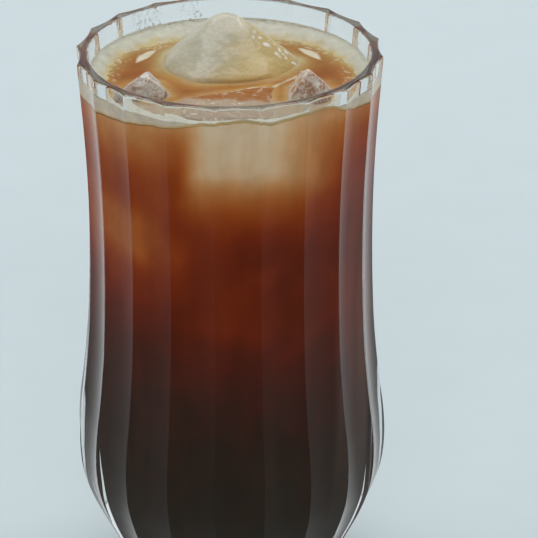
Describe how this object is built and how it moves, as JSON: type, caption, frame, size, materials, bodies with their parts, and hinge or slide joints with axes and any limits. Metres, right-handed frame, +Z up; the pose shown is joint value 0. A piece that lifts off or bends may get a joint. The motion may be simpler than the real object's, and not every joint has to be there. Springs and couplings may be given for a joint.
{
  "type": "iced filter coffee in a glass",
  "caption": "Tall clear fluted glass of black iced filter coffee, with a thin ring of pale foam and melting ice blocks that rise out of the drink.",
  "frame": {"origin": "centre of the glass's flat foot, on the table", "axes": "+Z up along the glass's axis; the side to drink from, where the front ice block shows through the wall, faces -Y; +X to that side's right"},
  "size_m": [0.0792, 0.0792, 0.1555],
  "materials": {
    "glass": "clear, smooth",
    "coffee": "dark red-brown clear drink, glossy",
    "foam": "fine beige bubbles, matte",
    "ice": "cloudy wet ice"
  },
  "bodies": {
    "root": {"glass": "glass", "coffee": "coffee", "foam": "foam", "ice_peak": "ice", "ice_front": "ice", "ice_left": "ice", "ice_right": "ice"}
  },
  "joints": []
}
